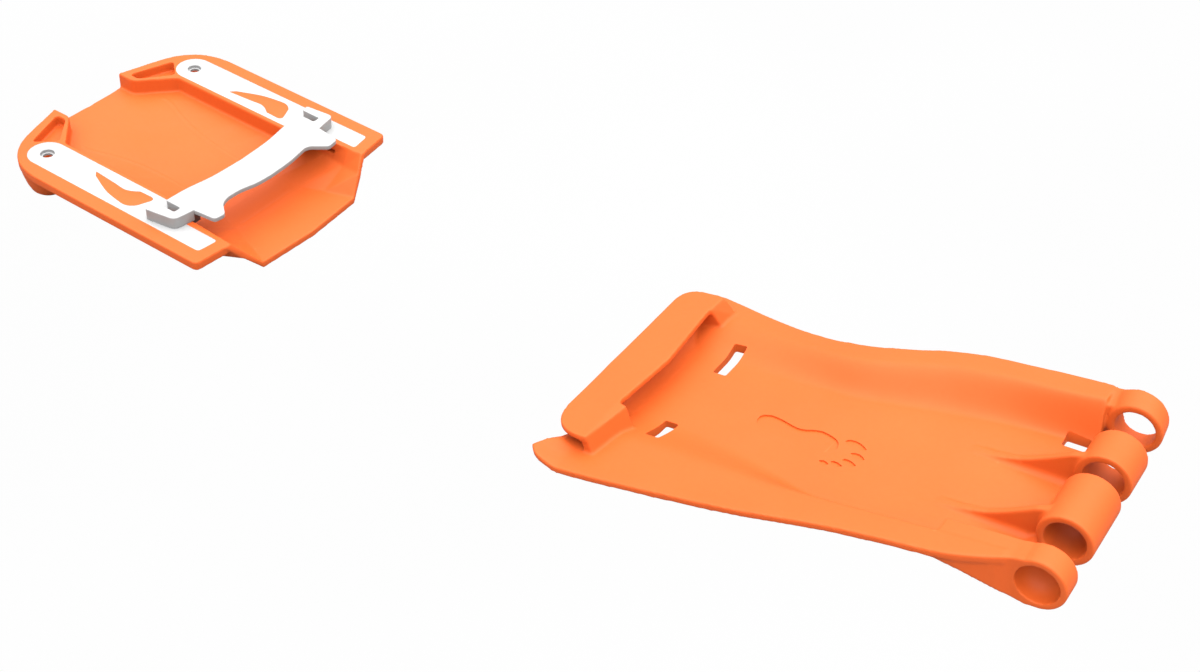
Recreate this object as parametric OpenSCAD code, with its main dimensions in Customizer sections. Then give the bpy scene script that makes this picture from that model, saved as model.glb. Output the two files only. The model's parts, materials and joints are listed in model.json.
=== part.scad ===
// Touring binding: a heel receiver with glide rails and a sliding latch, and a
// hinged foot plate. X points toe-ward, +Y to the inner (big-toe) side, Z up.
// The origin is on the hinge axis, over the centreline of the receiver.

/* [Layout] */
// Distance from the hinge axis back to the receiver's screw holes (mm)
receiver_back = 541; // [200:1:600]
// Height of the hinge axis above the receiver's flange tops (mm)
receiver_drop = 42.4; // [20:0.1:80]
// Pitch of the foot plate at rest, toe up (degrees)
plate_pitch = 13.5; // [0:0.5:20]

/* [Heel receiver] */
// Half the distance between the two ski screw holes (mm)
hole_half = 53.2; // [45:0.1:60]
// Radius of the ski screw holes (mm)
screw_r = 2.6; // [2:0.1:3.5]
// Half the overall width of the receiver (mm)
tray_half = 71.2; // [60:0.1:80]
// X of the front ends of the flanges, from the screw holes (mm)
flange_front = 122.9; // [100:0.5:140]
// Thickness of the side flanges (mm)
flange_t = 5; // [3:0.1:7]
// Run-out of the rounded rear corners along each side (mm)
corner_r = 26; // [16:0.5:30]
// Depth of the lowest point of the channel floor (mm)
floor_depth = 17; // [12:0.5:22]
// Thickness of the channel floor and walls (mm)
shell_t = 4; // [3:0.1:5]

/* [Rails] */
// Thickness of the glide rails (mm)
rail_t = 3; // [2:0.1:4]
// Radius of the rounded rear end of a rail (mm)
rail_r = 10.1; // [8:0.1:12]
// X of the squared front end of a rail, from the screw holes (mm)
rail_front = 116.6; // [100:0.1:120]
// Radius of the counterbore in a rail (mm)
cbore_r = 3.6; // [3:0.1:5]

/* [Latch] */
// Height of the latch above the rails (mm)
latch_top = 6.5; // [4:0.1:9]
// Thickness of the latch bar between its end blocks (mm)
latch_t = 2.4; // [2:0.1:4]
// Gap left between the latch and the rails it slides on (mm)
glide_gap = 0.05; // [0.02:0.01:0.1]

/* [Foot plate] */
// Moulded thickness of the foot plate (mm)
plate_t = 3.5; // [3:0.1:5]
// Height of the catch bar's top above the hinge plane (mm)
catch_top = 15; // [12:0.5:18]
// Thickness of the catch bar (mm)
catch_t = 3; // [2:0.1:4]
// Height the outer heel corner curls up (mm)
heel_curl = 5; // [0:0.5:8]

/* [Hinge] */
// Outer radius of the hinge knuckles (mm)
knuckle_r = 12; // [10:0.1:14]
// Radius of the hinge bore through all knuckles but the outer one (mm)
bore_r = 8.75; // [7:0.05:10]
// Radius of the blind bore in the outer knuckle (mm)
stub_r = 9.1; // [7:0.05:10]

/* [Hidden] */
$fn = 64;
eps = 0.01;

// ------------------------------------------------------------ shared tools
function smooth_step(t) = let (c = min(max(t, 0), 1)) c * c * (3 - 2 * c);

// smooth curve through a short table of stations [x, value]
function span_index(x, table, i = 0) =
    (i >= len(table) - 2 || x < table[i + 1][0]) ? i : span_index(x, table, i + 1);
function slope_at(table, i) = let (a = max(i - 1, 0), b = min(i + 1, len(table) - 1))
    (table[b][1] - table[a][1]) / (table[b][0] - table[a][0]);
function curve_at(x, table) = let (
    i = span_index(x, table),
    span = table[i + 1][0] - table[i][0],
    u = min(max((x - table[i][0]) / span, 0), 1),
    rise_a = slope_at(table, i) * span,
    rise_b = slope_at(table, i + 1) * span)
    (2 * u * u * u - 3 * u * u + 1) * table[i][1] + (u * u * u - 2 * u * u + u) * rise_a
    + (3 * u * u - 2 * u * u * u) * table[i + 1][1] + (u * u * u - u * u) * rise_b;
function curve_points(table, x_from, x_to, steps) = [for (k = [0 : steps])
    let (x = x_from + (x_to - x_from) * k / steps) [x, curve_at(x, table)]];

function arc(centre, radius, from, to, steps) = [for (k = [0 : steps])
    let (a = from + (to - from) * k / steps) centre + radius * [cos(a), sin(a)]];
function quadratic(start, control, end, steps) = [for (k = [0 : steps]) let (t = k / steps)
    start * (1 - t) * (1 - t) + control * 2 * t * (1 - t) + end * t * t];
// rounds one corner between its neighbours, starting and ending run away from it
function round_corner(before, corner, after, run, steps = 4) =
    quadratic(corner + (before - corner) / norm(before - corner) * run, corner,
              corner + (after - corner) / norm(after - corner) * run, steps);
// rounds every corner; run is one number or one per corner
function rounded(points, run) = let (n = len(points)) [for (i = [0 : n - 1])
    each round_corner(points[(i + n - 1) % n], points[i], points[(i + 1) % n],
                      is_list(run) ? run[i] : run)];

function flip_y(points) = [for (p = points) [p[0], -p[1], p[2]]];
function reversed(points) = [for (i = [len(points) - 1 : -1 : 0]) points[i]];
function without_first(points) = [for (i = [1 : len(points) - 1]) points[i]];

// skin over rings of points; each ring runs along its top and back along its bottom
module loft(rings) {
    n = len(rings[0]);
    last = (len(rings) - 1) * n;
    polyhedron(points = [for (r = rings) each r],
        faces = concat(
            [for (j = [0 : n / 2 - 2]) each [[n - 1 - j, j + 1, j], [n - 1 - j, n - 2 - j, j + 1]]],
            [for (i = [0 : n : last - n], j = [0 : n - 1]) let (next = (j + 1) % n) each
                [[i + j, i + n + next, i + n + j], [i + j, i + next, i + n + next]]],
            [for (j = [0 : n / 2 - 2]) each
                [[last + j, last + j + 1, last + n - 1 - j],
                 [last + j + 1, last + n - 2 - j, last + n - 1 - j]]]));
}
// six-sided block from its bottom and top quads
module block(bottom, top) loft([reversed(bottom), reversed(top)]);

// prism along Y from an X-Z profile
module across(y_from, y_to, profile)
    translate([0, y_to, 0]) rotate([90, 0, 0]) linear_extrude(y_to - y_from) polygon(profile);
// cylinder along the hinge axis
module hinge_cylinder(radius, y_from, y_to)
    translate([0, y_to, 0]) rotate([90, 0, 0]) cylinder(r = radius, h = y_to - y_from);

// receiver frame: origin midway between the screw holes, at the flange tops
module tray_frame() translate([-receiver_back, 0, -receiver_drop]) children();
module both_sides() {
    children();
    mirror([0, 1, 0]) children();
}

// ---------------------------------------------------------------- receiver
// All receiver, rail and latch plans are of the +Y side, in the receiver frame.
base_z = -floor_depth - shell_t;
step_start = 80;                 // the channel widens between these two X
step_end = 82.6;
rear_edge = hole_half - 12.4;    // Y of the channel wall behind and ahead of the step
front_edge = hole_half - 6.8;
front_spread = 3 / 42;           // outward slope of the wall ahead of the step
tip_x = 124.8;                   // front end of the channel wall
wall_lap = 2;                    // flange edge's offset into the channel wall
horn_tip = [-28.2, 22.9];
horn_t = 11;
peg_xs = [40, 106];              // rail pegs
peg_y = 58;
peg_r = 2;
peg_gap = 0.05;

// Y of the channel wall's inside face at flange level
function edge_y(x) = x <= step_start ? rear_edge
    : x < step_end
        ? rear_edge + (front_edge - rear_edge) * (x - step_start) / (step_end - step_start)
        : front_edge + front_spread * (x - step_end);

// outline of the rounded rear corner, from the horn round to the side
rear_corner = round_corner(horn_tip, [-14, tray_half], [100, tray_half], corner_r, 14);
flange_plan = concat(
    round_corner([0, tray_half], [flange_front, tray_half], [tip_x, edge_y(tip_x)], 3),
    [[tip_x, edge_y(tip_x) + wall_lap], [83.6, edge_y(83.6) + wall_lap],
     [81, rear_edge + wall_lap], [3, rear_edge + wall_lap]],
    rear_corner);
// rear horn that closes the corner of the channel
horn_plan = concat(
    [horn_tip],
    round_corner(horn_tip, [-16.9, 22.6], [0, rear_edge], 3),
    [[0, rear_edge], [5, rear_edge + wall_lap], [0, 56], rear_corner[0]]);
pocket_plan = rounded([[-22.4, 26.4], [-16.2, 26.2], [-3.8, 41.8], [-14, 51]],
                      [2.2, 2.2, 2.2, 2.4]);
// half profile of the lug below a screw hole: radius, z
LUG_PROFILE = [[0, -4], [13.2, -4], [12.4, -9], [10.9, -15], [9.2, -19], [7, base_z], [0, base_z]];

// channel stations: x, crease y, crease z, wall foot y, wall foot z
CHANNEL = [
    [-27.6, 23, -8.7, 38, -8.6],
    [0, 30, -9, edge_y(0), -8.7],
    [16, 25, -9.9, edge_y(16), -8.8],
    [32, 20.6, -11, edge_y(32), -8.9],
    [48, 18.8, -12.4, edge_y(48), -9],
    [65, 18.4, -13.8, edge_y(65), -9],
    [step_start, 20, -14.6, edge_y(step_start), -9],
    [step_end, 20.4, -14.8, edge_y(step_end) - 0.1, -9],
    [90, 21.6, -15.2, edge_y(90) - 0.3, -9],
    [102, 23.2, -floor_depth, edge_y(102) - 1.8, -8.4],
    [116, 29, -floor_depth, edge_y(116) - 4.6, -8.8]];
// front lip of the channel, from the centreline out: x, y, z
LIP_TOP = [[133.8, 0, -floor_depth], [131.6, 34.8, -floor_depth], [128, 42.8, -7.8],
           [tip_x, edge_y(tip_x), 0]];
LIP_BOTTOM = [[133.8, 0, base_z], [131.6, 34.8, base_z], [128, 45, -10.4],
              [tip_x, edge_y(tip_x) + shell_t, 0]];

// the floor's centreline dips below the creases towards the rear
function centre_z(s) = s[2] - 0.7 * smooth_step(1 - s[0] / 60);
// the walls stop short of flange level at the rear end
function wall_top_z(s) = s[0] < 0 ? -6 : 0;
function station_top(s) = [[s[0], 0, centre_z(s)], [s[0], s[1], s[2]],
    [s[0], s[3], s[4]], [s[0], edge_y(s[0]), wall_top_z(s)]];
function station_bottom(s) = [[s[0], 0, centre_z(s) - shell_t], [s[0], s[1], s[2] - shell_t],
    [s[0], s[3] + shell_t, s[4] - shell_t], [s[0], edge_y(s[0]) + shell_t, wall_top_z(s)]];
// closed ring of one station, starting at the -Y wall top
function channel_ring(top, bottom) = concat(reversed(flip_y(without_first(top))), top,
    reversed(bottom), flip_y(without_first(bottom)));
module channel() loft(concat(
    [for (s = CHANNEL) channel_ring(station_top(s), station_bottom(s))],
    [channel_ring(LIP_TOP, LIP_BOTTOM)]));

// lug under a screw hole, trimmed where it would stand inside the channel
module lug() difference() {
    translate([0, hole_half + 2, 0]) rotate_extrude() polygon(LUG_PROFILE);
    translate([-30, rear_edge - 20, -9.2]) cube([60, 20, 12]);
}

module heel_tray() color([0.95, 0.42, 0.15]) tray_frame() difference() {
    union() {
        channel();
        both_sides() {
            translate([0, 0, -flange_t]) linear_extrude(flange_t) polygon(flange_plan);
            translate([0, 0, -horn_t]) linear_extrude(horn_t) polygon(horn_plan);
            lug();
        }
    }
    both_sides() {
        translate([0, 0, -rail_t]) linear_extrude(rail_t + 1) polygon(rail_plan);
        translate([0, 0, -5.5]) linear_extrude(8) polygon(pocket_plan);
        translate([0, hole_half, -30]) cylinder(r = screw_r, h = 40);
        for (x = peg_xs)
            translate([x, peg_y, -8]) cylinder(r = peg_r + peg_gap, h = 10, $fn = 32);
        // groove the latch runner's tongue slides in
        translate([78, 40, -6.1]) cube([30, 9.6, 2.4]);
    }
}

// ------------------------------------------------------------------- rails
cbore_z = -1.8;                  // floor of the counterbore
rail_nose_x = rail_front + 1.5;
rail_plan = concat(
    arc([0, hole_half], rail_r, 270, 90, 24),
    round_corner([0, hole_half + rail_r], [rail_front, hole_half + rail_r], [rail_nose_x, 52], 2),
    round_corner([rail_front, hole_half + rail_r], [rail_nose_x, 51.6], [step_end, 51.4], 2),
    [[step_end, 51.4], [78.6, hole_half - rail_r]]);

// comma's long edges, away from and towards the centreline: x, y
COMMA_OUT = [[33.5, 51.4], [46.9, 57], [55.5, 58.8]];
COMMA_IN = [[46, 49.6], [53, 50.2], [57, 48.8], [60.2, 46.6]];
// comma outline: thin tail to the rear, round head to the front
comma_plan = concat(
    round_corner([41, 49.3], [30.6, 48.4], [33.5, 51.6], 1.2),
    curve_points(COMMA_OUT, 33.5, 55.5, 8),
    round_corner([55.5, 58.8], [64.5, 60], [69.5, 53], 5, 6),
    round_corner([66, 58], [71.6, 46.3], [60, 46.3], 4.5, 6),
    curve_points(COMMA_IN, 60.2, 46.2, 6));

module rail() difference() {
    union() {
        translate([0, 0, -rail_t]) linear_extrude(rail_t) polygon(rail_plan);
        for (x = peg_xs)
            translate([x, peg_y, -flange_t])
                cylinder(r = peg_r, h = flange_t - rail_t + eps, $fn = 32);
    }
    translate([0, hole_half, cbore_z]) cylinder(r = cbore_r, h = 5);
    translate([0, hole_half, -10]) cylinder(r = screw_r, h = 20);
    translate([0, 0, -rail_t - 1]) linear_extrude(rail_t + 2) polygon(comma_plan);
}
module inlay() translate([0, 0, -rail_t]) linear_extrude(rail_t) polygon(comma_plan);

module glide_rail_left() color([0.96, 0.96, 0.96]) tray_frame() rail();
module glide_rail_right() color([0.96, 0.96, 0.96]) tray_frame() mirror([0, 1, 0]) rail();
module rail_inlay_left() color([0.98, 0.55, 0.25]) tray_frame() inlay();
module rail_inlay_right() color([0.98, 0.55, 0.25]) tray_frame() mirror([0, 1, 0]) inlay();

// ------------------------------------------------------------------- latch
runner_corner = [84, 39, -6];    // rear corner nearest the centreline, at the bottom
runner_length = 10;
runner_width = 5.5;
tongue_y = 42;
tongue_width = 7.4;
tongue_t = 2.2;
latch_screw_x = runner_corner[0] + runner_length / 2;
latch_screw_y = runner_corner[1] + runner_width / 2;
shank_r = 1.45;
head_r = 2.5;
head_z = -5.8;
head_t = 1.8;
socket_r = 1.2;

// rear and front edges of the bar: y, x
BAR_REAR = [[0, 86.3], [20, 85.3], [37, 82.6], [48, 82]];
BAR_FRONT = [[0, 107.2], [12, 106.5], [27.5, 104.1]];
bar_plan = concat(
    [[BAR_REAR[0][1], -eps]],
    [for (p = curve_points(BAR_REAR, 0, 48, 8)) [p[1], p[0]]],
    [[90, 48], [98.2, 46.2]],
    round_corner([98.4, 46], [111.8, 45], [112.6, 38.2], 2),
    round_corner([111.8, 45], [112.6, 38.2], [106, 32.6], 1.6),
    quadratic([106.8, 33.3], [104.5, 31.4], [104.1, 27.5], 3),
    without_first([for (p = curve_points(BAR_FRONT, 27.5, 0, 6)) [p[1], p[0]]]),
    [[BAR_FRONT[0][1], -eps]]);
end_block_plan = concat(
    [[82, 46.6], [82, 49.4]],
    round_corner([82, 49.4], [91.8, 49.4], [91.8, 53.6], 1),
    round_corner([91.8, 49.4], [91.8, 53.6], [80, 53.6], 1),
    round_corner([91.8, 53.6], [80.2, 53.6], [79, 59.5], 1),
    round_corner([80.2, 53.6], [79, 59.5], [96.4, 59.1], 1.6),
    round_corner([79, 59.5], [96.4, 59.1], [98.2, 46.2], 3.4, 6),
    [[98.2, 46.6]]);

module latch_bar() color([0.97, 0.97, 0.97]) tray_frame() difference() {
    both_sides() {
        translate([0, 0, latch_top - latch_t]) linear_extrude(latch_t) polygon(bar_plan);
        translate([0, 0, glide_gap])
            linear_extrude(latch_top - glide_gap) polygon(end_block_plan);
    }
    both_sides() translate([latch_screw_x, latch_screw_y, 0]) cylinder(r = 1.5, h = 6, $fn = 32);
}

// upright block under the bar, with a tongue that runs in the tray's groove
module runner() difference() {
    union() {
        translate(runner_corner)
            cube([runner_length, runner_width, latch_top - latch_t - runner_corner[2]]);
        translate([runner_corner[0], tongue_y, runner_corner[2]])
            cube([runner_length, tongue_width, tongue_t]);
    }
    translate([latch_screw_x, latch_screw_y, -7]) cylinder(r = 1.6, h = 20, $fn = 32);
    translate([latch_screw_x, latch_screw_y, -7]) cylinder(r = 2.6, h = 3, $fn = 32);
}
module latch_runner_left() color([0.25, 0.25, 0.27]) tray_frame() runner();
module latch_runner_right() color([0.25, 0.25, 0.27]) tray_frame() mirror([0, 1, 0]) runner();

module runner_screws() color([0.6, 0.6, 0.63]) tray_frame() both_sides()
    translate([latch_screw_x, latch_screw_y, 0]) difference() {
        union() {
            translate([0, 0, head_z]) cylinder(r = head_r, h = head_t, $fn = 32);
            translate([0, 0, -4.5]) cylinder(r = shank_r, h = 10.3, $fn = 32);
        }
        translate([0, 0, head_z - 1]) cylinder(r = socket_r, h = 2.1, $fn = 6);
    }

// -------------------------------------------------------------- foot plate
// Everything is measured from the hinge axis, in the plate's own plane.
// On each side the floor ends at a foot, slopes up to a shoulder, then runs
// as a flange to the edge.
plate_rows = 31;
heel_x = -219.5;
plate_length = 206.5;
heel_cut = 4.5;                  // heel edge set forward under the catch bar
ear_reach = 2;                   // heel edge carried back at the outer ear

// distance from the centreline, inner (+Y) side: x, |y|
INNER_EDGE = [[-221, 69.7], [-207, 70.2], [-172, 62.3], [-150, 58.7], [-128, 59], [-107, 63.4],
    [-87, 69.3], [-70, 71.8], [-54, 71.9], [-32, 71.7], [-18, 71.4], [-9, 69.8]];
INNER_SHOULDER = [[-221, 62], [-185, 54], [-150, 50], [-123, 49], [-100, 54.5], [-83, 59.5],
    [-57, 61], [-32, 60], [-9, 61]];
INNER_FOOT = [[-221, 30], [-185, 30], [-150, 31], [-115, 33.5], [-83, 40], [-51, 45.5],
    [-27, 48.5], [-9, 50]];
// distance from the centreline, outer (-Y) side: x, |y|
OUTER_EDGE = [[-221, 69], [-216, 74.2], [-209, 75.4], [-198, 74.9], [-164, 72.1], [-125, 68.2],
    [-84, 61.7], [-60, 59.4], [-36, 57.4], [-22, 53.6], [-9, 48.6]];
OUTER_SHOULDER = [[-221, 48], [-180, 47], [-151, 48], [-123, 49], [-97, 48], [-79, 47.5],
    [-45, 46.3], [-18, 45.8], [-9, 45.4]];
OUTER_FOOT = [[-221, 20], [-178, 20], [-146, 23.2], [-122, 29], [-106, 33.6], [-94, 36],
    [-60, 37.4], [-9, 37.6]];
// top surface heights: x, z
FLANGE_Z = [[-221, 6], [-185, 6], [-125, 7.5], [-60, 9.5], [-9, 10.6]];
FLOOR_Z = [[-221, 0.5], [-185, 0], [-150, -1.2], [-115, -3], [-80, -4.3], [-50, -5.2],
    [-15, -7.6], [-8, -8]];

function flange_z(x) = curve_at(x, FLANGE_Z);
function floor_z(x) = curve_at(x, FLOOR_Z);
function curl(x, y) = heel_curl * smooth_step((-x - 205) / 15) * smooth_step((-y - 50) / 16);
function top_z(x, y) = let (
    foot = curve_at(x, y > 0 ? INNER_FOOT : OUTER_FOOT),
    shoulder = curve_at(x, y > 0 ? INNER_SHOULDER : OUTER_SHOULDER))
    floor_z(x) + (flange_z(x) - floor_z(x)) * smooth_step((abs(y) - foot) / (shoulder - foot))
    + curl(x, y);
// the underside's slopes lie 3 mm further out, to keep their thickness
function bottom_z(x, y) = top_z(x, y > 0 ? max(y - 3, 0) : min(y + 3, 0)) - plate_t;

// Y of the points of one row, from the outer edge to the inner edge
function row_ys(x) = let (
    out_edge = curve_at(x, OUTER_EDGE),
    out_shoulder = curve_at(x, OUTER_SHOULDER),
    out_foot = curve_at(x, OUTER_FOOT),
    in_edge = curve_at(x, INNER_EDGE),
    in_shoulder = curve_at(x, INNER_SHOULDER),
    in_foot = curve_at(x, INNER_FOOT))
    concat([-out_edge, -(out_edge + out_shoulder) / 2],
        [for (k = [0 : 6]) -(out_shoulder + (out_foot - out_shoulder) * k / 6)],
        [for (k = [1 : 3]) -out_foot + (out_foot + in_foot) * k / 4],
        [for (k = [0 : 6]) in_foot + (in_shoulder - in_foot) * k / 6],
        [(in_shoulder + in_edge) / 2, in_edge]);
// rows lie closer together in the first tenth, at the heel
function row_x(i) = let (t = i / (plate_rows - 1))
    heel_x + plate_length * (t < 0.1 ? t * 0.7 : 0.07 + (t - 0.1) * 0.93 / 0.9);
// the heel edge is cut back under the catch bar and runs out to an ear beside it
function ear_x(x, y) = let (
    heel = smooth_step((-x - 200) / 19.5),
    ear = smooth_step((-y - 61) / 8))
    x + heel * (heel_cut - (heel_cut + ear_reach) * ear);
module plate_shell() loft([for (i = [0 : plate_rows - 1]) let (x = row_x(i), ys = row_ys(x))
    concat([for (y = ys) [ear_x(x, y), y, top_z(x, y)]],
           [for (y = reversed(ys)) [ear_x(x, y), y, bottom_z(x, y)]])]);

catch_plan = concat(
    round_corner([-220.5, 0], [-221.5, 58.8], [-199.5, 58.8], 12, 6),
    round_corner([-221, 58.8], [-199.6, 59.2], [-200.4, 40], 4, 3),
    [[-200.6, 44], [-196.8, 4], [-199.4, -32]],
    round_corner([-199.4, -32], [-198.4, -61.6], [-219.6, -61.6], 2, 3),
    round_corner([-198.4, -61.6], [-219.6, -61.6], [-220.5, 0], 19, 8));
// wall under the bar, filleted into the floor on its toe side: x, z
CATCH_WALL = [[-214, catch_top - 1], [-214, -2], [-200, -2], [-200, 0.3], [-203.4, 0.8],
    [-206.4, 2.1], [-208.8, 4.4], [-210, 7.4], [-210.4, catch_top - 1]];
module catch_bar() {
    end_z = catch_top - 0.1;
    return_z = catch_top - 0.6;
    translate([0, 0, catch_top - catch_t]) linear_extrude(catch_t) polygon(catch_plan);
    across(-36.2, 48.4, CATCH_WALL);
    // outer end wall
    block([[-200.4, -61, 3.2], [-195.8, -61, 3.2], [-190.9, -34.5, -2], [-194.9, -34.5, -2]],
          [[-203, -60.6, end_z], [-198.8, -61, end_z],
           [-195.3, -34.2, return_z], [-199.6, -33, end_z]]);
    // outer return wall, along X
    block([[-213, -38, -2], [-192, -38, -2], [-190.8, -34.4, -2], [-213, -35, -2]],
          [[-213, -36.5, return_z], [-197, -36.5, return_z],
           [-195.6, -33.8, return_z], [-213, -33.5, return_z]]);
    // inner end wall
    block([[-199, 50, -2], [-194, 49.6, -2], [-194, 60.4, 4.5], [-199, 60.4, 4.5]],
          [[-203, 47, end_z], [-200.2, 46.8, end_z],
           [-199.2, 58.8, catch_top - 1], [-203, 58.8, catch_top - 1]]);
    // inner return wall, along X
    block([[-213, 46, -2], [-194.2, 49.8, -2], [-194.2, 53, -2], [-213, 51, -2]],
          [[-213, 45, return_z], [-200.3, 46.6, return_z],
           [-200.1, 50, return_z], [-213, 50, return_z]]);
}

// Y ranges of the four knuckles, from the outer side to the inner side
OUTER_KNUCKLE = [-48.5, -36.9];
MID_KNUCKLES = [[-20.8, 9.3], [20.6, 40.3]];
INNER_KNUCKLE = [57.3, 67.8];
rib_t = 3.8;
blind_wall = 1.8;                // left at the closed end of the blind bore

// root that joins a middle knuckle to the plate: x, z
ROOT_PROFILE = [[-17, floor_z(-17)], [-11.5, -5], [-9.5, 0], [-3, 0], [0, -knuckle_r],
    [-6, -knuckle_r + 0.3], [-17, floor_z(-17) - plate_t]];
// rib rising to a middle knuckle, its tail end moved toe-ward by shift
module rib(y, shift) across(y, y + rib_t, [
    [-54 + shift, floor_z(-54) + 0.1], [-47.5 + shift, -4.5], [-41.8 + shift, -3.6],
    [-36.2 + shift, -2.2], [-30.7 + shift * 0.8, -0.2], [-25.2 + shift * 0.5, 2.1],
    [-19.8 + shift * 0.3, 4.6], [-13.8, 7.4], [-8, 8.9], [-8, 0], [-10, -9], [-48 + shift, -7]]);

// inner knuckle, swelling upward to its +Y face where the flange runs over it
module inner_knuckle() {
    // end circles: y, centre x, centre z, radius
    ends = [[INNER_KNUCKLE[0], 0, 0, knuckle_r], [INNER_KNUCKLE[1], -1.3, 1.4, knuckle_r + 0.6]];
    loft([for (s = ends) [for (k = [0 : 95]) let (a = 360 * k / 96)
        [s[1] + s[3] * cos(a), s[0], s[2] + s[3] * sin(a)]]]);
}
// web that joins the inner knuckle to the plate's inner front corner
module inner_web() {
    y = INNER_KNUCKLE[0] + 1.6;
    face = INNER_KNUCKLE[1];
    block([[-15, y, -8.4], [0, y, -11.8], [0, face, -11.4], [-20, 70.6, 7.2]],
          [[-20, y, 6.4], [0, y, 10.6], [0, face, 12.4], [-20, 70.9, 10.45]]);
}
// underside of the outer web: x, z
OUTER_WEB = [[-42, 6], [-30, 1.4], [-16, -6.9], [-10.6, -10.6], [-5, -12.1], [0, -11.98]];
// web that carries the outer knuckle under the outer flange
module outer_web() loft([for (s = OUTER_WEB) let (
    x = s[0],
    high = x > -9 ? sqrt(knuckle_r * knuckle_r - x * x) - 0.02 : flange_z(x) - 0.4,
    face = OUTER_KNUCKLE[0],
    edge = x > -11 ? face : 0.1 - curve_at(x, OUTER_EDGE))
    [[x, edge, high], [x, OUTER_KNUCKLE[1], high], [x, OUTER_KNUCKLE[1], s[1]],
     [x, face + (edge - face) * 0.9, s[1]]]]);

// slots through the plate: centre x, centre y, size in x, size in y, cut start z
SLOTS = [[-181.6, 31, 7, 21, -20], [-181.6, -28.6, 7, 16.6, -20],
         [-21, 47.6, 11, 7.4, -30], [-21, -29, 11, 7.4, -30]];
slot_corner = 1.2;
function slot_plan(w, l) =
    rounded([[-w / 2, -l / 2], [w / 2, -l / 2], [w / 2, l / 2], [-w / 2, l / 2]], slot_corner);

module foot_plate() color([0.97, 0.48, 0.2]) rotate([0, -plate_pitch, 0]) difference() {
    union() {
        plate_shell();
        catch_bar();
        hinge_cylinder(knuckle_r, OUTER_KNUCKLE[0], OUTER_KNUCKLE[1]);
        outer_web();
        for (k = MID_KNUCKLES) {
            hinge_cylinder(knuckle_r, k[0], k[1]);
            across(k[0], k[1], ROOT_PROFILE);
        }
        rib(MID_KNUCKLES[0][0] + 5.5, shift = 1);
        rib(MID_KNUCKLES[1][0] + 1.4, shift = 0);
        inner_knuckle();
        inner_web();
    }
    hinge_cylinder(bore_r, MID_KNUCKLES[0][0] - 9, INNER_KNUCKLE[1] + 10);
    hinge_cylinder(stub_r, OUTER_KNUCKLE[0] - 5, OUTER_KNUCKLE[1] - blind_wall);
    for (s = SLOTS)
        translate([s[0], s[1], s[4]]) linear_extrude(60) polygon(slot_plan(s[2], s[3]));
}

heel_tray();
glide_rail_left();
glide_rail_right();
rail_inlay_left();
rail_inlay_right();
latch_bar();
latch_runner_left();
latch_runner_right();
runner_screws();
foot_plate();
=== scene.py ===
# An orange foot plate on a hinge, and the heel receiver on the ski under its heel end: an
# orange tray with two white glide rails, and a white latch bar lying across them.
# +X points to the toes, +Y to the left, +Z up. Outlines are in millimetres.
# The hinge axis is world Y. The plate is drawn level about it, then pitched heel down.
# The tray is drawn with x = 0 at its screws and z = 0 at its flange tops.
import bpy
import bmesh
import json
import math
import numpy as np
from mathutils import Matrix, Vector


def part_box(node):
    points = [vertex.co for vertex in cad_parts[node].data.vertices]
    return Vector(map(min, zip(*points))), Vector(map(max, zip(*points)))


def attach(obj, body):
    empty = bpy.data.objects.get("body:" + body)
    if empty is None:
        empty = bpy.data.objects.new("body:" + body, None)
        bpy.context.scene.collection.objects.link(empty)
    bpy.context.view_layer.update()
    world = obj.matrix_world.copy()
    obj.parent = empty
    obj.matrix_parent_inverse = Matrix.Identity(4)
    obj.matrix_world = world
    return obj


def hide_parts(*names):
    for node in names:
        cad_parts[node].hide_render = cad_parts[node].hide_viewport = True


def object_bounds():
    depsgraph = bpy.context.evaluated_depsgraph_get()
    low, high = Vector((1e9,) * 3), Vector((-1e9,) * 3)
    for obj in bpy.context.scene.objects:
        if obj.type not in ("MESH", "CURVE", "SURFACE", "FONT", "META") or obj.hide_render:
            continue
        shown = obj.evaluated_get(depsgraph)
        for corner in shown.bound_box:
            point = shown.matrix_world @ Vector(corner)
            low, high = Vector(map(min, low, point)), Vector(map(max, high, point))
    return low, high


def bounds():
    return [list(map(float, corner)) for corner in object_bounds()]


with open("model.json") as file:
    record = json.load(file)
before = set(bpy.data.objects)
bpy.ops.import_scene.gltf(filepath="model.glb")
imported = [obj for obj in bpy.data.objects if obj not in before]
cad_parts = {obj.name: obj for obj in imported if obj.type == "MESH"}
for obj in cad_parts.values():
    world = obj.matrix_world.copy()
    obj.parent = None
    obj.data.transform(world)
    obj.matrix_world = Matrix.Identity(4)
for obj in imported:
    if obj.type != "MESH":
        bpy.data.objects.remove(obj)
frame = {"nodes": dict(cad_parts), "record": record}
CAD_BOX = bounds()
MOUNT = {mount["name"]: mount for mount in frame["record"]["mounts"]}
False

# ------------------------------------------------------------ driving sizes
TRAY_X = MOUNT["ski_screws"]["pos_m"][0] * 1000.0
TRAY_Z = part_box("glide_rail_left")[1][2] * 1000.0
SCREW_Y = MOUNT["ski_screws"]["dims"]["spacing_y_mm"] / 2.0
SCREW_R = MOUNT["ski_screws"]["dims"]["hole_r_mm"]
BORE_R = MOUNT["hinge_bore"]["dims"]["r_mm"]
STUB_R = MOUNT["stub_bore"]["dims"]["r_mm"]
PITCH = math.radians(13.5)
TO_METRES = Matrix.Scale(0.001, 4)
TRAY_PLACE = Matrix.Translation((TRAY_X / 1000, 0, TRAY_Z / 1000)) @ TO_METRES
PLATE_PLACE = Matrix.Rotation(-PITCH, 4, "Y") @ TO_METRES

# receiver: the floor depth is below the flange tops
FLANGE_T, FLOOR_DEPTH, SHELL_T = 5.0, 17.0, 4.0
BASE_Z = -FLOOR_DEPTH - SHELL_T
TRAY_HALF, FLANGE_FRONT, TRAY_CORNER_R = 71.2, 122.9, 26.0
RAIL_T, RAIL_R, RAIL_FRONT = 3.0, 10.1, 116.6
LATCH_TOP, LATCH_T, LATCH_GAP = 6.5, 2.4, 0.05

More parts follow.
